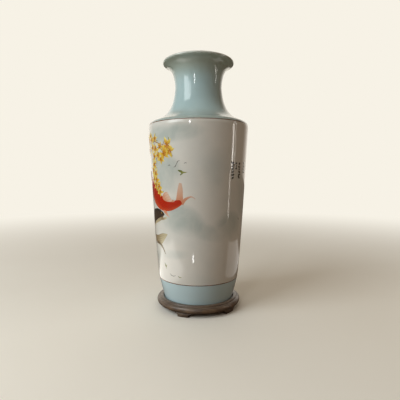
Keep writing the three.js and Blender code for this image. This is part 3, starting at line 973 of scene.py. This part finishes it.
def hardwood_material():
    """Dark rosewood-like timber: long streaks, open pores, and a waxed, handled surface."""
    material, tree, shader, place = new_material("waxed dark hardwood")
    along, wide, fine = (stretched(tree, place, (squeeze, 1.0, 1.0), turn=(lean, 0.0, 0.2))
                         for squeeze, lean in ((0.09, 0.02), (0.2, 0.0), (0.035, 0.02)))
    streak = noise(tree, along, 260.0, 6.0, 0.62, 0.7)
    band = noise(tree, wide, 70.0, 3.0, 0.5, 1.2)
    pores = ramp_between(tree, noise(tree, fine, 1500.0, 2.0, 0.5), 0.60, 0.68)
    wood = mix_colours(tree, ramp_between(tree, streak, 0.32, 0.68), (82, 68, 56), (126, 108, 90))
    wood = tinted(tree, wood, ramp_between(tree, band, 0.35, 0.65), 0.55, (78, 60, 46))
    wood = tinted(tree, wood, pores, 0.65, (24, 15, 9))
    axes = parts_of(tree, place)
    out = maths(tree, "SQRT", plus(tree, square(tree, axes["X"]), square(tree, axes["Y"])))
    crest = ramp_between(tree, out, RING_HIGH.x - 1.6 * MM, RING_HIGH.x)
    rubbed = times(tree, crest, ramp_between(tree, noise(tree, place, 90.0, 3.0), 0.4, 0.65, 0.0, 0.4))
    wood = mix_colours(tree, rubbed, wood, (132, 102, 74))
    normal = bump(tree, times(tree, pores, -1.0), 0.05 * MM)
    normal = bump(tree, streak, 0.03 * MM, normal)
    rough = ramp_between(tree, streak, 0.3, 0.7, 0.42, 0.3)
    dress(tree, shader, wood, rough, normal, coat=0.4, coat_rough=0.3)
    return material


def dowel_material():
    """Pale straight-grained dowel wood."""
    material, tree, shader, place = new_material("pale dowel wood")
    grain = noise(tree, stretched(tree, place, (1.0, 1.0, 0.08)), 900.0, 4.0)
    pale = mix_colours(tree, grain, (196, 160, 108), (158, 118, 72))
    tree.links.new(pale, shader.inputs["Base Color"])
    tree.links.new(bump(tree, grain, 0.03 * MM), shader.inputs["Normal"])
    shader.inputs["Roughness"].default_value = 0.7
    return material


# Half widths of a bracket foot, seen from outside: at the toe, the waist and the wings under the ring.
TOE_HALF, WAIST_HALF, WING_HALF = 8.0 * MM, 7.25 * MM, 12.0 * MM
WAIST_SHARE = 0.34  # the waist's height as a share of the foot's
SWEEP_CURVE = 2.2  # how late the hollow sweep turns outwards
BRACKET_DEPTH = 16 * MM
BRACKET_REACH = 1.8 * MM  # outer face in front of the lowest line of the moulding
TOE_CUT_IN = 0.7 * MM
BRACKET_SWELL = 0.45 * MM  # how far the outer face swells halfway up
BRACKET_EDGE = 0.9 * MM
BRACKET_EASE = 0.35 * MM


def bracket_half_width(share):
    """The half width of a foot at a share of its height: toe, waist, then a sweep out to the wings."""
    wing_start = 1 - BRACKET_EDGE / RING_LOW.z
    if share >= wing_start:
        return WING_HALF
    if share <= WAIST_SHARE:
        return between(TOE_HALF, WAIST_HALF, math.sin(share / WAIST_SHARE * math.pi / 2))
    sweep = (share - WAIST_SHARE) / (wing_start - WAIST_SHARE)
    return between(WAIST_HALF, WING_HALF, 1 - math.sqrt(max(1 - sweep ** SWEEP_CURVE, 0)))


def make_foot(number, material):
    """A bracket foot with a rounded outer face, lofted upwards from the toe and eased along its edges."""
    node = f"stand_foot_{number}"
    low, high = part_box(node)
    name = f"stand_bracket_foot_{number}"
    middle = (low + high) / 2
    turn = math.atan2(middle.x, -middle.y)
    outer_top = bulge_centre[0] + BRACKET_REACH
    inner = outer_top - BRACKET_DEPTH
    levels, across = 22, 14
    rings = []
    for level in range(levels + 1):
        share = level / levels
        half = bracket_half_width(share)
        outer = outer_top - TOE_CUT_IN * (1 - share) ** 2 + BRACKET_SWELL * math.sin(math.pi * share)
        height = between(0.0, RING_LOW.z, share)
        section = []
        for radius, order in ((outer, range(across + 1)), (inner, range(across, -1, -1))):
            for step in order:
                x = half * (2 * step / across - 1)
                section.append(Vector((x, -math.sqrt(radius * radius - x * x), height)))
        rings.append(section)
    size = len(rings[0])
    verts = [Matrix.Rotation(turn, 3, "Z") @ point for ring in rings for point in ring]
    faces = [list(range(size)), list(range(levels * size, (levels + 1) * size))]
    for level in range(levels):
        for i in range(size):
            j = (i + 1) % size
            a, b = level * size, (level + 1) * size
            faces.append([a + i, a + j, b + j, b + i])
    mesh = bpy.data.meshes.new(name)
    mesh.from_pydata(verts, [], faces)
    face_outwards(mesh)
    foot = new_object(name, mesh)
    ease = foot.modifiers.new("eased edges", "BEVEL")
    ease.width, ease.segments = BRACKET_EASE, 3
    ease.limit_method, ease.angle_limit = "ANGLE", math.radians(42)
    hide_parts(node)
    return finish_piece(foot, "stand", material)


def make_stand():
    wood = hardwood_material()
    make_ring(wood)
    make_floor_board(wood)
    for number in range(1, 6):
        make_foot(number, wood)
    pale = dowel_material()
    for number in range(1, 6):
        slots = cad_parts[f"foot_dowel_{number}"].data.materials
        slots.clear()
        slots.append(pale)


# ---- Camera, light and floor ----

EYE_DISTANCE = 0.5
EYE_HEIGHT = vase_foot + 175.6 * MM
LOOK_DOWN = math.radians(3.7)
LENS, LENS_SHIFT = 30.6, 0.004  # focal length in mm on a 36 mm frame, and the framing's small shift
ABOVE_FLOOR = 3 * MM  # where the glows lie that stand for light off the floor

# Lamps: name, place, what each faces, width, height, watts, tint, and the rays that don't see it.
MIDDLE, NECK = (0, 0, 0.18), (0, 0, 0.27)
LAMPS = (
    ("tall window", (-0.90, -0.61, 0.80), NECK, 0.70, 0.95, 10.4, (0.88, 0.95, 1.0), "glossy"),
    ("wide pane", (-0.93, -0.57, 0.80), NECK, 0.50, 0.95, 5.4, (0.92, 0.98, 1.0), "diffuse"),
    ("narrow pane", (-0.71, -0.83, 0.80), NECK, 0.17, 0.70, 0.85, (0.92, 0.98, 1.0), "diffuse"),
    ("small window", (-0.20, -0.62, 0.42), (0, 0, 0.33), 0.035, 0.24, 0.5, (1, 1, 1), None),
    ("bright strip", (0.64, -0.10, 0.24), MIDDLE, 0.028, 0.15, 0.14, (1.0, 0.95, 0.88), None),
    ("dim strip", (0.63, -0.15, 0.085), MIDDLE, 0.026, 0.15, 0.05, (1.0, 0.93, 0.84), None),
    ("high strip", (0.65, -0.02, 0.41), MIDDLE, 0.03, 0.13, 0.075, (1.0, 0.97, 0.93), None),
    ("second strip", (0.65, -0.017, 0.25), MIDDLE, 0.010, 0.14, 0.03, (1.0, 0.95, 0.88), None),
    ("low glint", (-0.048, -0.225, 0.012), (0, -0.06, 0.08), 0.014, 0.016, 0.008, (1, 1, 1), "diffuse"),
    ("left glow off the floor", (-0.24, -0.02, ABOVE_FLOOR), (-0.24, -0.02, 1), 0.26, 0.30, 0.37,
     (1.0, 0.97, 0.92), "camera"),
    ("right glow off the floor", (0.27, 0.09, ABOVE_FLOOR), (0.27, 0.09, 1), 0.24, 0.30, 0.14,
     (1.0, 0.97, 0.92), "camera"),
)


def make_camera():
    lens = bpy.data.cameras.new("camera")
    lens.sensor_width = 36
    lens.lens = LENS
    lens.shift_x = LENS_SHIFT
    lens.clip_start = 0.01
    camera = new_object("camera", lens)
    camera.location = (0, -EYE_DISTANCE, EYE_HEIGHT)
    camera.rotation_euler = (math.pi / 2 - LOOK_DOWN, 0, 0)
    scene.camera = camera


def make_lights():
    for name, place, towards, wide, tall, power, tint, unseen_by in LAMPS:
        light = bpy.data.lights.new(name, "AREA")
        light.shape = "RECTANGLE"
        light.size, light.size_y = wide, tall
        light.energy = power
        light.color = tint
        lamp = new_object(name, light)
        lamp.location = place
        lamp.rotation_euler = (Vector(towards) - Vector(place)).to_track_quat("-Z", "Y").to_euler()
        if unseen_by:
            setattr(lamp, "visible_" + unseen_by, False)


BACKDROP = colour(247, 242, 230)
FLOOR_BOUNCE = (0.19, 0.135, 0.085, 1)  # the floor throws back less light than it shows
FLOOR_RADIUS = 6.0

# The room's light, which only surfaces see: from the left, the right, behind the vase and overhead.
FROM_LEFT, FROM_RIGHT = (0.30, 0.285, 0.26, 1), (0.125, 0.072, 0.036, 1)
FROM_BEHIND, FROM_OVERHEAD = (1.0, 0.93, 0.82, 1), (0.26, 0.22, 0.165, 1)


def make_world():
    world = bpy.data.worlds.new("pale studio")
    scene.world = world
    world.use_nodes = True
    tree = world.node_tree
    tree.nodes.clear()
    direction = add(tree, "ShaderNodeTexCoord").outputs["Generated"]
    axes = parts_of(tree, direction)
    room = mix_colours(tree, ramp_between(tree, axes["X"], -0.9, 0.3), FROM_LEFT, FROM_RIGHT)
    room = mix_colours(tree, ramp_between(tree, axes["Y"], 0.5, 0.9), room, FROM_BEHIND)
    room = mix_colours(tree, ramp_between(tree, axes["Z"], 0.5, 0.95), room, FROM_OVERHEAD)
    ray = add(tree, "ShaderNodeLightPath").outputs["Is Camera Ray"]
    lighting, seen = (add(tree, "ShaderNodeBackground", {"Color": shade, "Strength": 1.0}).outputs[0]
                      for shade in (room, BACKDROP))
    both = add(tree, "ShaderNodeMixShader", {0: ray, 1: lighting, 2: seen})
    tree.links.new(both.outputs[0], add(tree, "ShaderNodeOutputWorld").inputs["Surface"])


def make_floor():
    """A plain pale floor, almost matt, that fades into the backdrop."""
    material, tree, shader, place = new_material("pale floor")
    pale = mix_colours(tree, noise(tree, place, 6.0, 2.0), (252, 247, 235), (248, 242, 229))
    ray = add(tree, "ShaderNodeLightPath").outputs["Is Camera Ray"]
    tree.links.new(mix_colours(tree, ray, FLOOR_BOUNCE, pale), shader.inputs["Base Color"])
    shader.inputs["Roughness"].default_value = 0.7
    shader.inputs["Specular IOR Level"].default_value = 0.3
    far = add(tree, "ShaderNodeVectorMath", {0: place}, operation="LENGTH").outputs["Value"]
    share = times(tree, ramp_between(tree, far, 0.12, 1.5), ray)
    glow = add(tree, "ShaderNodeEmission", {"Color": BACKDROP})
    both = add(tree, "ShaderNodeMixShader", {0: share, 1: shader.outputs[0], 2: glow.outputs[0]})
    tree.links.new(both.outputs[0], tree.nodes["Material Output"].inputs["Surface"])
    mesh = bpy.data.meshes.new("floor")
    work = bmesh.new()
    bmesh.ops.create_circle(work, cap_ends=True, segments=96, radius=FLOOR_RADIUS)
    work.to_mesh(mesh)
    work.free()
    mesh.materials.append(material)
    new_object("floor", mesh)


# ---- Making everything ----

make_camera()
make_lights()
make_world()
make_floor()
scene.view_settings.view_transform = "Standard"

make_vase(glaze_material())
brown = line_material()
make_line("upper_enamel_line", UPPER_LINE_HEIGHT, brown)
make_line("lower_enamel_line", LOWER_LINE_HEIGHT, brown)
for paint in (paint_red_fish, paint_grey_fish, paint_gold_fish, paint_blossom, paint_ink, paint_water_weed):
    paint()
make_stand()
